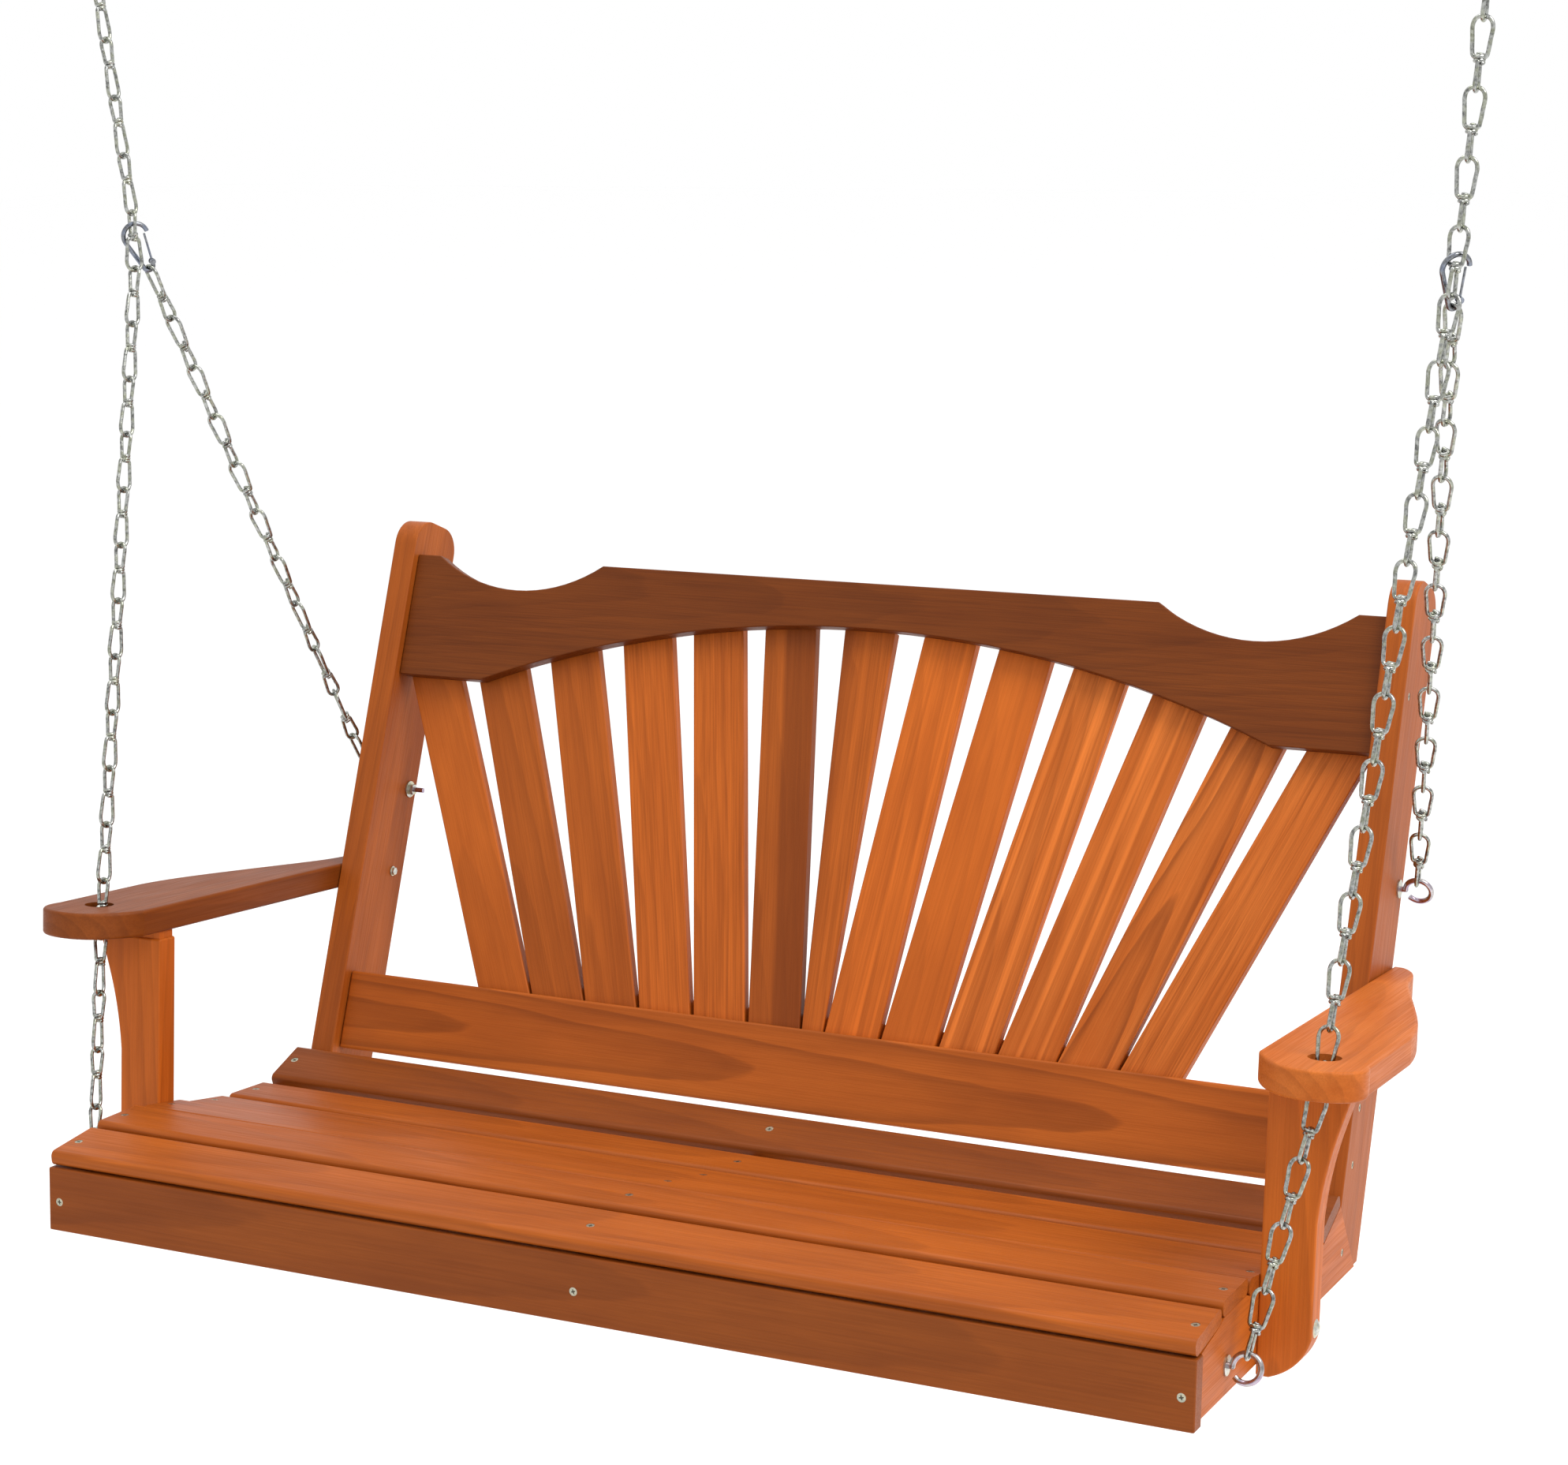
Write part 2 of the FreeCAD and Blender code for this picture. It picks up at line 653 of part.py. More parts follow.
rail_left = rail_left.cut(bolt_l)
post_right = post_right.cut(bolt_r)
post_left = post_left.cut(bolt_l)
stile_right = stile_right.cut(lags[1])
stile_left = stile_left.cut(lags[0])
arm_right = arm_right.cut(lags[1])
arm_left = arm_left.cut(lags[0])

# ---- countersunk screws ----
slat_screws = []
slat_screw_points = [1.29, 4.32, 7.51, 10.59, 13.65, 16.63]
for index, slat in enumerate(slats):
    a = math.radians(slat[2])
    down = V(0, math.sin(a), -math.cos(a))
    along = (slat_screw_points[index] * IN - slat[0]) / math.cos(a)
    top = slat_point(slat, along, 0.3)
    tools = []
    wells = []
    for x in (-23.50 * IN, 0.0, 23.50 * IN):
        tools.append(screw_along(V(x, top.y, top.z), down, 34.0))
        wells.append(screw_well(V(x, top.y, top.z), down))
    slat_screws += tools
    key = "seat_slat_%d" % (index + 1)
    parts[key] = parts[key].cut(tools + wells)
    rail_left = rail_left.cut(tools[0])
    centre_brace = centre_brace.cut(tools[1])
    rail_right = rail_right.cut(tools[2])
parts["seat_slat_screws"] = group(slat_screws)

apron_screws = []
apron_wells = []
for x in (-23.50 * IN, 0.0, 23.50 * IN):
    apron_screws.append(screw_along(V(x, 0.3, -1.38 * IN), Y, 40.0))
    apron_wells.append(screw_well(V(x, 0.3, -1.38 * IN), Y))
parts["apron_screws"] = group(apron_screws)
parts["front_apron"] = parts["front_apron"].cut(apron_screws + apron_wells)
rail_left = rail_left.cut(apron_screws[0])
centre_brace = centre_brace.cut(apron_screws[1])
rail_right = rail_right.cut(apron_screws[2])

# side screws: rail into stile, stile into both back rails
side_screws = []
side_wells = []
lap_screws = []
lap_wells = []
for s in (-1, 1):
    inward = V(-s, 0, 0)
    for y, z in ((20.42, 3.89), (19.72, 1.75), (25.20, 19.60)):
        head = V(s * (stile_out - 0.3), y * IN, z * IN)
        side_screws.append(screw_along(head, inward, 44.0))
        side_wells.append(screw_well(head, inward))
    lap = V(s * (rail_out - 0.3), 18.35 * IN, -1.40 * IN)
    lap_screws.append(screw_along(lap, inward, 26.0))
    lap_wells.append(screw_well(lap, inward))
parts["side_screws"] = group(side_screws)
parts["lap_screws"] = group(lap_screws)
stile_left = stile_left.cut(side_screws[:3] + side_wells[:3] + lap_screws[:1])
stile_right = stile_right.cut(side_screws[3:] + side_wells[3:] + lap_screws[1:])
rail_left = rail_left.cut([lap_screws[0], lap_wells[0]])
rail_right = rail_right.cut([lap_screws[1], lap_wells[1]])
parts["top_back_rail"] = parts["top_back_rail"].cut([side_screws[2], side_screws[5]])
low_rail = low_rail.cut(side_screws[:2] + side_screws[3:5])

parts["left_side_rail"] = rail_left
parts["right_side_rail"] = rail_right
parts["centre_seat_brace"] = centre_brace
parts["left_back_stile"] = stile_left
parts["right_back_stile"] = stile_right
parts["lower_back_rail"] = low_rail
parts["back_brace"] = back_brace
for index, board in enumerate(fan):
    parts["fan_slat_%02d" % (index + 1)] = board
parts["left_arm"] = arm_left
parts["right_arm"] = arm_right
parts["left_front_post"] = post_left
parts["right_front_post"] = post_right

# ======================= export =======================

for key in parts:
    to_row(parts[key]).exportStep("parts/%s.step" % key)

# The hanging chains and ceiling hooks are built straight in the hanging frame.


def ceiling_hook(x):
    """Screw hook: threaded shank up into the joist, collar at the ceiling, bend below."""
    r = hook_bend
    turn = 8.0
    zc = -hook_drop + r
    rise = math.sqrt(r * r + 2 * turn * r)
    zs = zc + rise
    t = V(0, r * turn / (r + turn), zc + r * rise / (r + turn))
    m1 = V(0, turn - turn * math.cos(math.radians(34)), zs - turn * math.sin(math.radians(34)))
    m2 = V(0, 0, zc - r)
    tip = V(0, r * math.cos(math.radians(160)), zc + r * math.sin(math.radians(160)))
    edges = [line(V(0, 0, -1.0), V(0, 0, zs)), arc(V(0, 0, zs), m1, t), arc(t, m2, tip)]
    wire = tube(edges, hook_wire, V(0, 0, -1.0), V(0, 0, -1))
    collar = Part.makeCylinder(9.0, 2.5, V(0, 0, -2.5), Z)
    screw = Part.makeCylinder(hook_wire, hook_screw - 7.0, V(0, 0, -1.0), Z)
    point = Part.makeCone(hook_wire, 0.5, 7.0, V(0, 0, hook_screw - 8.0), Z)
    hook = wire.fuse([collar, screw, point]).removeSplitter()
    hook.translate(V(x, 0, 0))
    return hook


for name, s in (("left", -1), ("right", 1)):
    low = V(s * pivot_a.x, 0, pivot_low_z)
    high = V(s * hook_x, 0, pivot_top_z)
    u = (high - low).normalize()
    start = low - u * (wire_r + joint_gap - gap / 2)
    end = high - u * (wire_r + gap / 2)
    turns = [0] * upper_links
    run = chain_run(start, end, upper_links, turns, s > 0)
    group(run).exportStep("parts/%s_hanging_chain.step" % name)
    ceiling_hook(s * hook_x).exportStep("parts/%s_ceiling_hook.step" % name)
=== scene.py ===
import math
import random

import bmesh
import bpy
from mathutils import Matrix, Vector


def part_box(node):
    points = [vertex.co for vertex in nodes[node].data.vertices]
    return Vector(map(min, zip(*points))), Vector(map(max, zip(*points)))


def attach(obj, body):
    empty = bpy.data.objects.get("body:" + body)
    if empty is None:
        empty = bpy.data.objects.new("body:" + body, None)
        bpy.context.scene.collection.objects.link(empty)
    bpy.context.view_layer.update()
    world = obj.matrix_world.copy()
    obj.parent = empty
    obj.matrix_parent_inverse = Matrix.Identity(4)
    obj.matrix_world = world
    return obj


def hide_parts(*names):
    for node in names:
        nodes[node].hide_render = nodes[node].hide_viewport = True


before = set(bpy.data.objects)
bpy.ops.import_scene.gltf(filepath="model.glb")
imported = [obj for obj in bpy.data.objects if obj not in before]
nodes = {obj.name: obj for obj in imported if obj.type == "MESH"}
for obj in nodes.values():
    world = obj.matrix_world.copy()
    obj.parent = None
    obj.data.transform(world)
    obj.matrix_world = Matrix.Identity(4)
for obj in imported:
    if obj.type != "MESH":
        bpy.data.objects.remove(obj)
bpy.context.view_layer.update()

IN = 0.0254
TILT = math.radians(6.21)
RECLINE = math.radians(17.59)
SHIFT = Vector((0, -0.404812, -1.267136))
X, Y, Z = Vector((1, 0, 0)), Vector((0, 1, 0)), Vector((0, 0, 1))


def to_row(p):
    """Point in the apron's frame, in inches, to the hanging frame, in metres."""
    x, y, z = p
    c, s = math.cos(TILT), math.sin(TILT)
    return Vector((x, y * c + z * s, z * c - y * s)) * IN + SHIFT


def row_dir(v):
    c, s = math.cos(TILT), math.sin(TILT)
    return Vector((v[0], v[1] * c + v[2] * s, v[2] * c - v[1] * s)).normalized()


# ---------------------------------------------------------------- materials


class Graph:
    """Short-hand for building a shader graph."""

    def __init__(self, name):
        self.mat = bpy.data.materials.new(name)
        self.mat.use_nodes = True
        self.tree = self.mat.node_tree
        self.bsdf = self.tree.nodes["Principled BSDF"]

    def node(self, kind, **inputs):
        n = self.tree.nodes.new(kind)
        for key, value in inputs.items():
            self.feed(n, key.replace("_", " "), value)
        return n

    def feed(self, n, key, value):
        if isinstance(value, bpy.types.NodeSocket):
            self.tree.links.new(value, n.inputs[key])
        else:
            n.inputs[key].default_value = value

    def math(self, op, a, b=None, clamp=False):
        n = self.tree.nodes.new("ShaderNodeMath")
        n.operation = op
        n.use_clamp = clamp
        self.feed(n, 0, a)
        if b is not None:
            self.feed(n, 1, b)
        return n.outputs[0]

    def mix(self, fac, a, b, blend="MIX"):
        n = self.tree.nodes.new("ShaderNodeMix")
        n.data_type = "RGBA"
        n.blend_type = blend
        self.feed(n, 0, fac)
        for key, value in ((6, a), (7, b)):
            if isinstance(value, bpy.types.NodeSocket):
                self.tree.links.new(value, n.inputs[key])
            else:
                n.inputs[key].default_value = (*value, 1.0)
        return n.outputs[2]

    def ramp(self, fac, stops):
        n = self.tree.nodes.new("ShaderNodeValToRGB")
        self.feed(n, "Fac", fac)
        while len(n.color_ramp.elements) < len(stops):
            n.color_ramp.elements.new(0.5)
        for e, (pos, value) in zip(n.color_ramp.elements, stops):
            e.position = pos
            e.color = (value, value, value, 1) if isinstance(value, float) else (*value, 1)
        return n.outputs[0]

    def noise(self, vector, scale, detail=3.0, rough=0.5, distortion=0.0):
        n = self.node("ShaderNodeTexNoise", Vector=vector, Scale=scale, Detail=detail,
                      Roughness=rough, Distortion=distortion)
        return n.outputs[0]

    def coords(self, centre, grain, face):
        """Object coordinates turned so that x runs along the grain and z through the board."""
        g = Vector(grain).normalized()
        f = (Vector(face) - g * g.dot(Vector(face))).normalized()
        turn = Matrix((g, f.cross(g), f)).transposed().to_euler()
        tex = self.tree.nodes.new("ShaderNodeTexCoord")
        m = self.tree.nodes.new("ShaderNodeMapping")
        m.vector_type = "TEXTURE"
        m.inputs["Location"].default_value = centre
        m.inputs["Rotation"].default_value = turn
        self.tree.links.new(tex.outputs["Object"], m.inputs["Vector"])
        return m.outputs[0]

    def stretch(self, vector, scale, offset=(0, 0, 0)):
        m = self.tree.nodes.new("ShaderNodeMapping")
        m.inputs["Scale"].default_value = scale
        m.inputs["Location"].default_value = offset
        self.tree.links.new(vector, m.inputs["Vector"])
        return m.outputs[0]

    def bump(self, height, strength, distance):
        n = self.node("ShaderNodeBump", Height=height, Strength=strength, Distance=distance)
        self.tree.links.new(n.outputs[0], self.bsdf.inputs["Normal"])


LIGHT = (0.56, 0.132, 0.014)
MID = (0.42, 0.092, 0.009)
DARK = (0.15, 0.030, 0.003)
PALE = 0.87


def scaled(colour, k):
    return tuple(min(1.0, c * k) for c in colour)


def wood(name, centre, grain, face, seed, tone=1.0, ring=0.011, figure=0.5, pith=(0.03, -0.05),
         heart=None, lines=0.35, rough=0.46, streak=0.0, red=1.0):
    """Stained board: growth rings about a pith line, fine fibre lines and soft mottling."""
    g = Graph(name)
    rnd = random.Random(seed)
    off = (rnd.uniform(-9, 9), rnd.uniform(-9, 9), rnd.uniform(-9, 9))
    p = g.coords(centre, grain, face)
    slow = g.noise(g.stretch(p, (1.3, 9.0, 9.0), off), 1.0, 2.0, 0.5)
    wander = g.noise(g.stretch(p, (4.0, 14.0, 14.0), off), 1.0, 3.0, 0.55)
    sep = g.tree.nodes.new("ShaderNodeSeparateXYZ")
    g.tree.links.new(p, sep.inputs[0])
    dy = g.math("SUBTRACT", sep.outputs[1], pith[0])
    dz = g.math("SUBTRACT", sep.outputs[2], pith[1])
    dy = g.math("ADD", dy, g.math("MULTIPLY", g.math("SUBTRACT", slow, 0.5), 0.055))
    lean = g.math("MULTIPLY", sep.outputs[0], 0.035)
    dz = g.math("ADD", dz, lean)
    r = g.math("SQRT", g.math("ADD", g.math("MULTIPLY", dy, dy), g.math("MULTIPLY", dz, dz)))
    r = g.math("ADD", r, g.math("MULTIPLY", g.math("SUBTRACT", wander, 0.5), 0.010))
    phase = g.math("MULTIPLY", r, 1.0 / ring)
    saw = g.math("FRACT", phase)
    rings = g.ramp(saw, [(0.0, 0.05), (0.55, 0.35), (0.88, 1.0), (0.96, 0.85), (1.0, 0.05)])
    fibre = g.noise(g.stretch(p, (10.0, 620.0, 620.0), off), 1.0, 2.0, 0.6)
    medium = g.noise(g.stretch(p, (3.0, 150.0, 150.0), off), 1.0, 3.0, 0.6)
    mottle = g.noise(g.stretch(p, (5.0, 22.0, 22.0), off), 1.0, 3.0, 0.6)
    light, mid, dark = scaled(LIGHT, tone), scaled(MID, tone), scaled(DARK, tone)
    light = (light[0], light[1] / red, light[2] / red ** 4)
    base = g.mix(g.ramp(mottle, [(0.30, 0.0), (0.72, 1.0)]), mid, light)
    amount = g.math("MULTIPLY", rings, figure)
    base = g.mix(amount, base, dark)
    fine = g.ramp(fibre, [(0.36, 0.0), (0.66, 1.0)])
    base = g.mix(g.math("MULTIPLY", fine, lines), base, scaled(mid, 0.62))
    broad = g.ramp(medium, [(0.40, 0.0), (0.75, 1.0)])
    base = g.mix(g.math("MULTIPLY", broad, lines * 0.7), base, scaled(light, 1.12))
    if streak:
        pale = g.ramp(g.noise(g.stretch(p, (0.7, 95.0, 95.0), off), 1.0, 2.0, 0.5),
                      [(0.50, 0.0), (0.62, 1.0)])
        base = g.mix(g.math("MULTIPLY", pale, streak), base, scaled(light, 1.45))
    if heart is not None:
        side, edge, soft = heart
        across = g.math("MULTIPLY", sep.outputs[1], side)
        across = g.math("ADD", across, g.math("MULTIPLY", g.math("SUBTRACT", slow, 0.5), 0.02))
        mask = g.ramp(g.math("MULTIPLY", g.math("SUBTRACT", across, edge), 1.0 / soft, True),
                      [(0.0, 0.0), (1.0, 1.0)])
        base = g.mix(g.math("MULTIPLY", mask, 0.62), base, scaled(DARK, 1.35 * tone))
    g.tree.links.new(base, g.bsdf.inputs["Base Color"])
    shine = g.math("ADD", g.math("MULTIPLY", fine, 0.14), rough - 0.05)
    g.tree.links.new(shine, g.bsdf.inputs["Roughness"])
    g.bsdf.inputs["Specular IOR Level"].default_value = 0.16
    height = g.math("ADD", g.math("MULTIPLY", fine, -0.5), g.math("MULTIPLY", rings, 0.5 * figure))
    g.bump(height, 0.22, 0.0006)
    return g.mat


def metal(name, colour, tint, rough, tint_amount=0.4, dark=0.35, scale=260.0):
    """Plated steel: uneven tint, dull patches and tiny pits; very dark patches, as on the chain, are
    partly painted dark reflection.
    """
    g = Graph(name)
    tex = g.tree.nodes.new("ShaderNodeTexCoord").outputs["Object"]
    patch = g.noise(tex, scale, 3.0, 0.6)
    fine = g.noise(tex, scale * 7.0, 2.0, 0.5)
    body = g.mix(g.ramp(patch, [(0.38, 0.0), (0.66, 1.0)]), colour, scaled(colour, 1.0 - dark))
    hue = g.ramp(g.noise(tex, scale * 0.45, 2.0, 0.5), [(0.45, 0.0), (0.60, 1.0)])
    body = g.mix(g.math("MULTIPLY", hue, tint_amount), body, tint)
    g.tree.links.new(body, g.bsdf.inputs["Base Color"])
    g.bsdf.inputs["Metallic"].default_value = 1.0
    shine = g.math("ADD", g.math("MULTIPLY", fine, 0.16), rough - 0.06)
    g.tree.links.new(shine, g.bsdf.inputs["Roughness"])
    g.bump(patch, 0.12, 0.0004)
    return g.mat


def dress(obj, material):
    obj.data.materials.clear()
    obj.data.materials.append(material)


def middle(name):
    lo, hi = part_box(name)
    return (lo + hi) * 0.5


ALONG = Vector((1, 0, 0))
UP_BACK = row_dir((0, math.sin(RECLINE), math.cos(RECLINE)))
OUT_BACK = row_dir((0, -math.cos(RECLINE), math.sin(RECLINE)))
slopes = [8.0, 1.2, -7.4, -7.8, -1.6, 22.5]
slat_tone = [0.76, 0.76, 0.76, 0.74, 0.72, 0.46]
for i in range(6):
    name = "seat_slat_%d" % (i + 1)
    a = math.radians(slopes[i])
    normal = row_dir((0, -math.sin(a), math.cos(a)))
    dress(nodes[name], wood("stain_" + name, middle(name), ALONG, normal, 40 + i, slat_tone[i],
                            ring=0.011, figure=0.26, pith=(0.02 * (-1) ** i, -0.09), lines=0.34,
                            rough=0.42))

front_normal = row_dir((0, -1, 0))
dress(nodes["front_apron"], wood("stain_apron", middle("front_apron"), ALONG, front_normal, 11, 0.50,
                                 ring=0.014, figure=0.24, pith=(0.01, -0.10), lines=0.26))
dress(nodes["top_back_rail"], wood("stain_top_rail", middle("top_back_rail"), ALONG, OUT_BACK, 12,
                                   0.31, ring=0.006, figure=0.24, pith=(0.05, -0.12), lines=0.42))
dress(nodes["lower_back_rail"], wood("stain_low_rail", middle("lower_back_rail"), ALONG, OUT_BACK,
                                     16, 0.84, ring=0.014, figure=0.50, pith=(-0.006, -0.035),
                                     lines=0.22))
dress(nodes["back_brace"], wood("stain_brace", middle("back_brace"), ALONG, OUT_BACK, 14, 0.7,
                                figure=0.25, lines=0.3))
side_along = row_dir((0, 1, 0))
for side, s in (("left", -1), ("right", 1)):
    dress(nodes[side + "_side_rail"], wood("stain_%s_rail" % side, middle(side + "_side_rail"),
                                           side_along, (s, 0, 0), 20 + s, 0.95, figure=0.2))
    dress(nodes[side + "_back_stile"], wood("stain_%s_stile" % side, middle(side + "_back_stile"),
                                            UP_BACK, (s, 0, 0), 22 + s, 0.72, ring=0.012,
                                            figure=0.22, lines=0.3, pith=(0.02, -0.06)))
    dress(nodes[side + "_arm"], wood("stain_%s_arm" % side, middle(side + "_arm"),
                                     row_dir((0, 1, -0.032)), row_dir((0, 0.032, 1)), 25 + s,
                                     1.02 if s > 0 else 0.42, ring=0.014, figure=0.24, lines=0.28,
                                     red=PALE if s > 0 else 1.0))
    dress(nodes[side + "_front_post"], wood("stain_%s_post" % side, middle(side + "_front_post"),
                                            row_dir((0, 0.028, 1)), front_normal, 28 + s, 1.05,
                                            ring=0.010, figure=0.26, lines=0.25))
dress(nodes["centre_seat_brace"], wood("stain_seat_brace", middle("centre_seat_brace"), side_along,
                                       (1, 0, 0), 31, 0.8, figure=0.2))

fan_angle = [-23.7, -20.7, -16.4, -12.5, -9.5, -6.5, 0.0, 6.5, 9.5, 12.5, 16.4, 20.7, 23.7]
fan_look = [
    dict(tone=0.90, figure=0.18, lines=0.20),
    dict(tone=0.74, figure=0.26, lines=0.30),
    dict(tone=0.82, figure=0.22, lines=0.36),
    dict(tone=1.02, figure=0.26, lines=0.55, ring=0.007),
    dict(tone=0.98, figure=0.28, lines=0.60, ring=0.006),
    dict(tone=0.74, figure=0.24, lines=0.36, heart=(-1.0, -0.006, 0.006)),
    dict(tone=0.92, figure=0.28, lines=0.50, ring=0.006, heart=(1.0, 0.004, 0.020)),
    dict(tone=1.12, figure=0.24, lines=0.36, streak=0.35),
    dict(tone=1.06, figure=0.18, lines=0.22),
    dict(tone=1.12, figure=0.42, lines=0.55, streak=0.45, ring=0.008, red=PALE),
    dict(tone=1.08, figure=0.26, lines=0.40, streak=0.40, red=PALE),
    dict(tone=1.12, figure=0.70, lines=0.40, ring=0.009, pith=(0.0, -0.030), red=PALE),
    dict(tone=1.10, figure=0.30, lines=0.70, ring=0.005, red=PALE),
]
for i in range(13):
    name = "fan_slat_%02d" % (i + 1)
    a = math.radians(fan_angle[i])
    grain = UP_BACK * math.cos(a) + X * math.sin(a)
    dress(nodes[name], wood("stain_" + name, middle(name), grain, OUT_BACK, 60 + i, **fan_look[i]))

# chain and snap hook: the darkened base and very dark patches (dark 0.70 on the chain) are partly
# painted reflection of dark surroundings, over uneven plating
chain_zinc = metal("chain_zinc", (0.46, 0.47, 0.45), (0.38, 0.40, 0.26), 0.18, 0.40, 0.70, 300.0)
snap_zinc = metal("snap_zinc", (0.26, 0.27, 0.29), (0.20, 0.24, 0.34), 0.20, 0.5, 0.50, 240.0)
eye_zinc = metal("eye_zinc", (0.54, 0.51, 0.51), (0.42, 0.30, 0.46), 0.18, 0.6, 0.50, 150.0)
bolt_zinc = metal("bolt_zinc", (0.60, 0.60, 0.55), (0.62, 0.54, 0.30), 0.30, 0.5, 0.40, 300.0)
screw_zinc = metal("screw_zinc", (0.58, 0.54, 0.40), (0.38, 0.42, 0.36), 0.34, 0.6, 0.40, 420.0)
hook_zinc = metal("hook_zinc", (0.66, 0.67, 0.66), (0.60, 0.60, 0.50), 0.28, 0.4, 0.35, 200.0)
# near-black metal for the screw recesses: painted shade standing in for the shade inside the cross
# slots
recess_painted_shade = metal("recess_painted_shade", (0.10, 0.09, 0.07), (0.16, 0.14, 0.08), 0.55, 0.5, 0.5, 500.0)
for name, obj in nodes.items():
    if "snap" in name:
        dress(obj, snap_zinc)
    elif "eye_bolt" in name and name.endswith("bolt"):
        dress(obj, eye_zinc)
    elif name in ("eye_bolt_washers", "eye_bolt_nuts", "carriage_bolts", "carriage_bolt_nuts",
                  "arm_lag_bolts"):
        dress(obj, bolt_zinc)
    elif name.endswith("screws"):
        dress(obj, screw_zinc)
    elif "ceiling_hook" in name:
        dress(obj, hook_zinc)

# ---------------------------------------------------------------- chain links

WIRE = 1.97
SMALL_LEN, SMALL_HALF, BIG_HALF = 27.9, 6.43, 8.93
GAP, JOINT_GAP = 0.1, 0.3
EYE_WIRE, EYE_RING = 2.8, 13.1
SNAP_WIRE, SNAP_LEN = 2.5, 54.0
MM = 0.001
END_SHRINK = 0.72
WIRE_PLAY = 0.985

# hinge points of the right side, in the apron's frame, inches
PIVOT = (28.23, 11.90, 37.97)
LINK_FOOT = (28.03, 11.79, 35.55)
BEND = (26.08, 6.27, 8.00)
FRONT_EYE = (24.66, 3.62, -1.30)
REAR_EYE = (24.63, 24.95, 11.85)

# hinge points of the right side in the hanging frame, metres
JUNCTION = (0.717042, 0, -0.341054)
CEILING = (0.744483, 0, -0.03953)

# left and right side: twist of the links, and how the snap hook lies on the junction link
LOWER_LINKS, UPPER_LINKS, REAR_LINKS, HANGING_LINKS = 4, 12, 11, 5
UPPER_TWIST = {"left": -8, "right": 0}
JUNCTION_TWIST = {"left": -25, "right": -12}
REAR_TWIST = {
    "left": [-20, -44, -32, -15, -5, 4, 8, 6, 2, -4, -18],
    "right": [0, 6, 10, 10, 8, 4, 0, -6, -12, -18, -24],
}
SNAP_TURN = {"left": 52.0, "right": 40.0}
BOW_BELOW = {"left": 0.014, "right": 0.025}
BOW_ASIDE = {"left": -0.002, "right": 0.0}


def smooth_path(points, steps):
    """Catmull-Rom curve through the points."""
    pts = [points[0] * 2 - points[1]] + points + [points[-1] * 2 - points[-2]]
    out = []
    for i in range(1, len(pts) - 2):
        a, b, c, d = pts[i - 1:i + 3]
        for k in range(steps):
            t = k / steps
            out.append(0.5 * ((2 * b) + (c - a) * t + (2 * a - 5 * b + 4 * c - d) * t * t
                              + (3 * b - a - 3 * c + d) * t ** 3))
    out.append(points[-1])
    return out


def sweep(bm, path, radius, sides=12):
    """Round tube along a path with closed, slightly domed ends."""
    tangents = []
    for i in range(len(path)):
        tangents.append((path[min(i + 1, len(path) - 1)] - path[max(i - 1, 0)]).normalized())
    normal = tangents[0].orthogonal().normalized()
    rings = []
    for i, point in enumerate(path):
        if i:
            normal = (normal - tangents[i] * normal.dot(tangents[i])).normalized()
        other = tangents[i].cross(normal)
        end = i in (0, len(path) - 1)
        r = radius * END_SHRINK if end else radius
        ring = []
        for k in range(sides):
            a = 2 * math.pi * k / sides
            ring.append(bm.verts.new(point + (normal * math.cos(a) + other * math.sin(a)) * r))
        rings.append(ring)
    for lower, upper in zip(rings, rings[1:]):
        for k in range(sides):
            bm.faces.new((lower[k], lower[(k + 1) % sides], upper[(k + 1) % sides], upper[k]))
    bm.faces.new(list(reversed(rings[0])))
    bm.faces.new(rings[-1])


def loop_points(length, half, lateral, up):
    side = [(2.1, 0.0), (0.5 * half + 1.3, 2.4), (0.78 * half, 6.0),
            (0.90 * half, 0.5 * (6.0 + length - half)), (half, length - half),
            (0.7071 * half, length - 0.2929 * half)]
    points = [lateral * -a + up * b for a, b in side]
    points.append(up * length)
    points += [lateral * a + up * b for a, b in reversed(side)]
    return points


def link_mesh(bm, place, upper_len, upper_half, lower_len, lower_half, rnd):
    """Both loops of a link, each one's end wound round the other's neck, ends cut off proud."""
    paths = []
    for length, half, lateral, up in ((upper_len, upper_half, X, Z), (lower_len, lower_half, Y, -Z)):
        paths.append(smooth_path(loop_points(length, half, lateral, up), 6))
    for sign, start in ((1, rnd.uniform(-0.3, 0.3)), (-1, math.pi / 2 + rnd.uniform(-0.3, 0.3))):
        coil = []
        turns = 1.35
        for k in range(27):
            t = k / 26
            a = start + sign * 2 * math.pi * turns * t
            r = 3.6 + 0.25 * math.sin(3 * a)
            z = sign * (0.15 + 3.5 * t)
            if t > 0.93:
                r += 24 * (t - 0.93)
            coil.append(Vector((r * math.cos(a), r * math.sin(a), z)))
        paths.append(coil)
    for path in paths:
        sweep(bm, [place @ (p * MM) for p in path], WIRE * MM * WIRE_PLAY)


def placement(origin, ex, ez):
    ez = ez.normalized()
    ex = (ex - ez * ex.dot(ez)).normalized()
    ey = ez.cross(ex)
    m = Matrix((ex, ey, ez)).transposed().to_4x4()
    m.translation = origin
    return m


def chain_run(bm, start, end, count, turns, big_above, rnd):
    """Links between two contact points, in metres, the lower one first."""
    run = end - start
    pitch = run.length / count
    u = run.normalized()
    big_len = pitch / MM + 2 * WIRE + GAP - SMALL_LEN
    low = SMALL_LEN if big_above else big_len
    for k in range(count):
        knot = start + u * (k * pitch + (low - WIRE - GAP / 2) * MM)
        ex = Matrix.Rotation(math.radians(turns[k]), 3, u) @ X
        place = placement(knot, ex, u)
        if big_above:
            link_mesh(bm, place, big_len, BIG_HALF, SMALL_LEN, SMALL_HALF, rnd)
        else:
            link_mesh(bm, place, SMALL_LEN, SMALL_HALF, big_len, BIG_HALF, rnd)


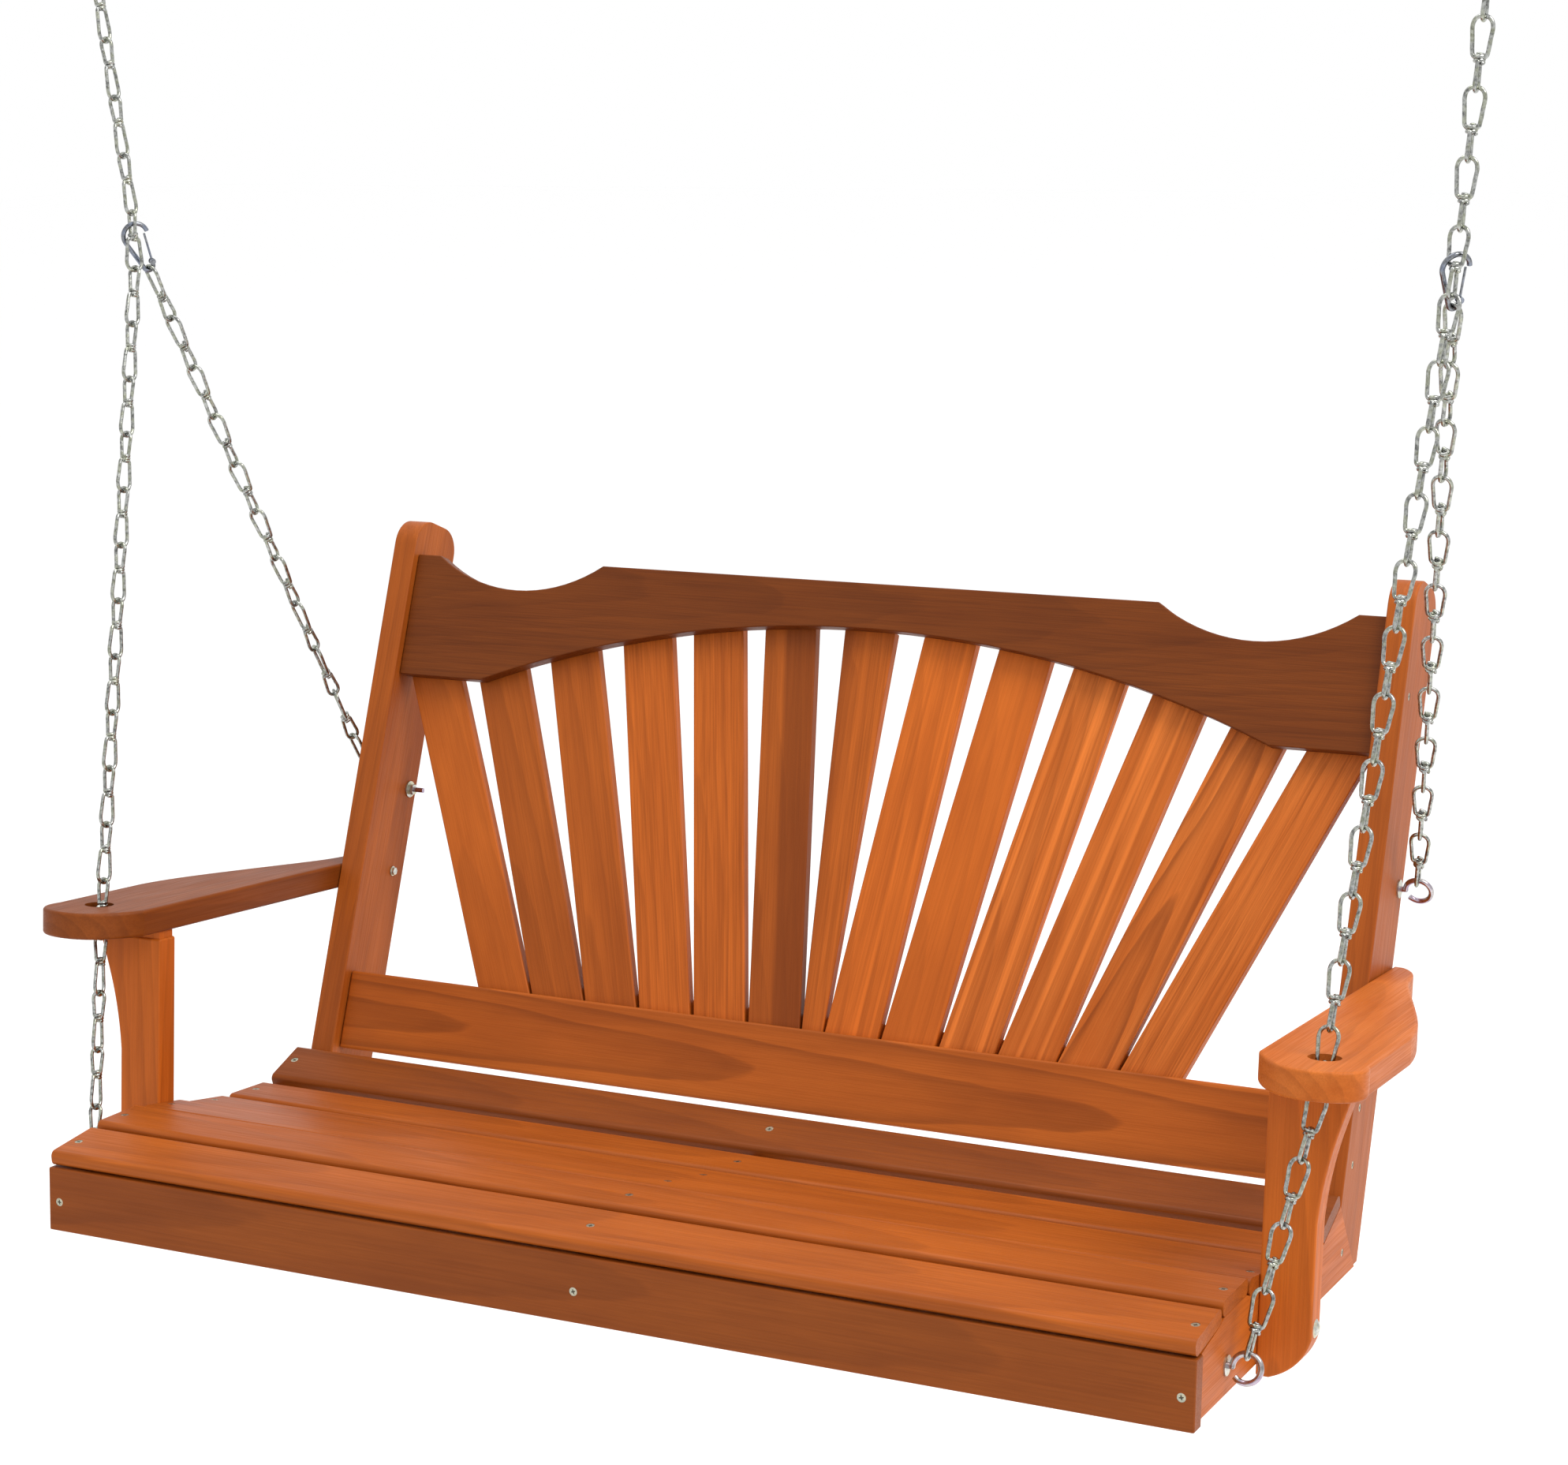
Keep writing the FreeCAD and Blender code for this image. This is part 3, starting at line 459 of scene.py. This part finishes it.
def finish_mesh(bm, name, material, body):
    bmesh.ops.recalc_face_normals(bm, faces=bm.faces)
    mesh = bpy.data.meshes.new(name)
    bm.to_mesh(mesh)
    bm.free()
    for poly in mesh.polygons:
        poly.use_smooth = True
    obj = bpy.data.objects.new(name, mesh)
    bpy.context.scene.collection.objects.link(obj)
    obj.data.materials.append(material)
    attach(obj, body)
    return obj


def side_v(p, s):
    return (p[0] * s, p[1], p[2])


def eye_contact(eye, pull):
    """Where the first link's wire meets the top of an eye that is pulled along pull."""
    flat = Vector((0, pull.y, pull.z)).normalized()
    return eye + flat * EYE_RING * MM - pull * (EYE_WIRE + GAP / 2) * MM


def dress_chain(bm, side, which, body):
    obj = finish_mesh(bm, "%s_%s_chain_links" % (side, which), chain_zinc, body)
    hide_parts("%s_%s_chain" % (side, which))


for side, s in (("left", -1), ("right", 1)):
    rnd = random.Random(5 + s)
    big = s > 0
    pivot, foot, bend, eye_f, eye_r = (
        to_row(side_v(p, s)) for p in (PIVOT, LINK_FOOT, BEND, FRONT_EYE, REAR_EYE))
    u_j = (pivot - foot).normalized()
    top_contact = pivot - u_j * (WIRE + GAP / 2) * MM
    start_f = eye_contact(eye_f, (bend - eye_f).normalized())
    bm = bmesh.new()
    chain_run(bm, start_f, bend, LOWER_LINKS, [0, -4 * s, -6 * s, -6 * s], big, rnd)
    chain_run(bm, bend, foot, UPPER_LINKS, [UPPER_TWIST[side]] * UPPER_LINKS, big, rnd)
    chain_run(bm, foot, top_contact, 1, [JUNCTION_TWIST[side]], big, rnd)
    dress_chain(bm, side, "front", "swing_seat")

    bow = pivot - u_j * BOW_BELOW[side]
    u = (bow - eye_r).normalized()
    across = Matrix.Rotation(math.radians(SNAP_TURN[side]), 3, u) @ X
    across = (across - u * u.dot(across)).normalized()
    bow = bow + across * BOW_ASIDE[side]
    start_r = eye_contact(eye_r, u)
    u = (bow - start_r).normalized()
    end_r = bow - u * (SNAP_LEN - SNAP_WIRE - GAP / 2) * MM
    bm = bmesh.new()
    chain_run(bm, start_r, end_r, REAR_LINKS, REAR_TWIST[side], True, rnd)
    dress_chain(bm, side, "rear", "swing_seat")

    low, high = Vector(side_v(JUNCTION, s)), Vector(side_v(CEILING, s))
    u = (high - low).normalized()
    low_contact = low - u * (WIRE + JOINT_GAP - GAP / 2) * MM
    high_contact = high - u * (WIRE + GAP / 2) * MM
    bm = bmesh.new()
    chain_run(bm, low_contact, high_contact, HANGING_LINKS, [0] * HANGING_LINKS, big, rnd)
    dress_chain(bm, side, "hanging", side + "_hanger")

# ---------------------------------------------------------------- screw recesses, near-black crosses of painted shade

# seat slats' middles and screw rows in the apron's frame, inches; head faces lie 0.3 mm deep
HEAD = 0.3 / 25.4
SLAT_SCREW_X = (-23.5, 0.0, 23.5)
SLAT_MID = [(1.44, 0.83), (4.46, 1.19), (7.50, 0.90), (10.55, 0.36), (13.62, 0.12), (16.50, 0.70)]
SLAT_SCREW = [1.29, 4.32, 7.51, 10.59, 13.65, 16.63]


def cross_mesh(bm, place, spin):
    """Cross recess of a screw head: four tapered arms round a dished middle."""
    arm, half = 2.3, 0.42
    outline = []
    for k in range(4):
        a = spin + k * math.pi / 2
        d = Vector((math.cos(a), math.sin(a), 0))
        e = Vector((-d.y, d.x, 0))
        outline += [d * half * 1.7 - e * half * 1.7, d * arm - e * half, d * arm + e * half]
    rings = []
    for grow, lift in ((1.0, -0.2), (1.0, 0.03), (0.82, 0.06), (0.5, 0.02)):
        rings.append([bm.verts.new(place @ ((p * grow + Z * lift) * MM)) for p in outline])
    for lower, upper in zip(rings, rings[1:]):
        for k in range(12):
            bm.faces.new((lower[k], lower[(k + 1) % 12], upper[(k + 1) % 12], upper[k]))
    bm.faces.new(list(reversed(rings[0])))
    bm.faces.new(rings[-1])


heads = {"seat_slat": [], "apron": [], "side": []}
for (y, z), slope, screw_y in zip(SLAT_MID, slopes, SLAT_SCREW):
    a = math.radians(slope)
    reach = (screw_y - y) / math.cos(a)
    spot_y = screw_y + HEAD * math.sin(a)
    spot_z = z + reach * math.sin(a) - HEAD * math.cos(a)
    for x in SLAT_SCREW_X:
        heads["seat_slat"].append(((x, spot_y, spot_z), (0, -math.sin(a), math.cos(a))))
for x in SLAT_SCREW_X:
    heads["apron"].append(((x, HEAD, -1.38), (0, -1, 0)))
for s in (-1, 1):
    for y, z in ((20.42, 3.89), (19.72, 1.75), (25.20, 19.60)):
        heads["side"].append(((s * (23.83 - HEAD), y, z), (s, 0, 0)))
    heads["side"].append(((s * (23.93 - HEAD), 18.35, -1.40), (s, 0, 0)))
rnd = random.Random(3)
for group_name, spots in heads.items():
    bm = bmesh.new()
    for point, normal in spots:
        n = row_dir(normal)
        cross_mesh(bm, placement(to_row(point), n.orthogonal(), n), rnd.uniform(0, 1.5))
    # each cross is a thin dark cap laid on the head face: painted shade of the recess
    finish_mesh(bm, group_name + "_screw_recess_shade", recess_painted_shade, "swing_seat")

# ---------------------------------------------------------------- stage

FLOOR_Z = -1.95
bpy.ops.mesh.primitive_plane_add(size=30, location=(0, 4, FLOOR_Z))
floor = bpy.context.object
floor.name = "floor"
pale = bpy.data.materials.new("pale_floor")
pale.use_nodes = True
pale.node_tree.nodes["Principled BSDF"].inputs["Base Color"].default_value = (1.0, 1.0, 1.0, 1)
pale.node_tree.nodes["Principled BSDF"].inputs["Roughness"].default_value = 0.9
floor.data.materials.append(pale)

world = bpy.data.worlds.new("studio")
bpy.context.scene.world = world
world.use_nodes = True
world.node_tree.nodes["Background"].inputs[0].default_value = (1.0, 1.0, 1.0, 1)
world.node_tree.nodes["Background"].inputs[1].default_value = 1.0


def area(name, place, target, size, power, colour=(1, 1, 1)):
    data = bpy.data.lights.new(name, "AREA")
    data.energy = power
    data.size = size
    data.color = colour
    lamp = bpy.data.objects.new(name, data)
    bpy.context.scene.collection.objects.link(lamp)
    lamp.location = place
    lamp.rotation_euler = (Vector(target) - Vector(place)).to_track_quat("-Z", "Y").to_euler()


area("key", (2.6, -0.2, 1.6), (0, 0, -1.0), 1.6, 70, (1.0, 0.98, 0.95))
area("top", (-0.3, 0.3, 2.2), (0, 0, -1.1), 2.2, 40)

# ---------------------------------------------------------------- camera

camera_data = bpy.data.cameras.new("camera")
camera = bpy.data.objects.new("camera", camera_data)
bpy.context.scene.collection.objects.link(camera)
yaw, pitch, roll = 0.4419, 0.1484, 0.0169
fwd = Vector((-math.sin(yaw) * math.cos(pitch), math.cos(yaw) * math.cos(pitch), -math.sin(pitch)))
right = Vector((math.cos(yaw), math.sin(yaw), 0))
up = right.cross(fwd)
r2 = right * math.cos(roll) + up * math.sin(roll)
u2 = up * math.cos(roll) - right * math.sin(roll)
m = Matrix((row_dir(r2), row_dir(u2), -row_dir(fwd))).transposed().to_4x4()
m.translation = to_row((55.2749, -99.4390, 36.5904))
camera.matrix_world = m
camera_data.sensor_fit = "HORIZONTAL"
SENSOR = 36.0
FOCAL_PER_WIDTH = 2.0370221
camera_data.sensor_width = SENSOR
camera_data.lens = FOCAL_PER_WIDTH * SENSOR
camera_data.clip_end = 60.0
bpy.context.scene.camera = camera
bpy.context.scene.view_settings.view_transform = "Standard"
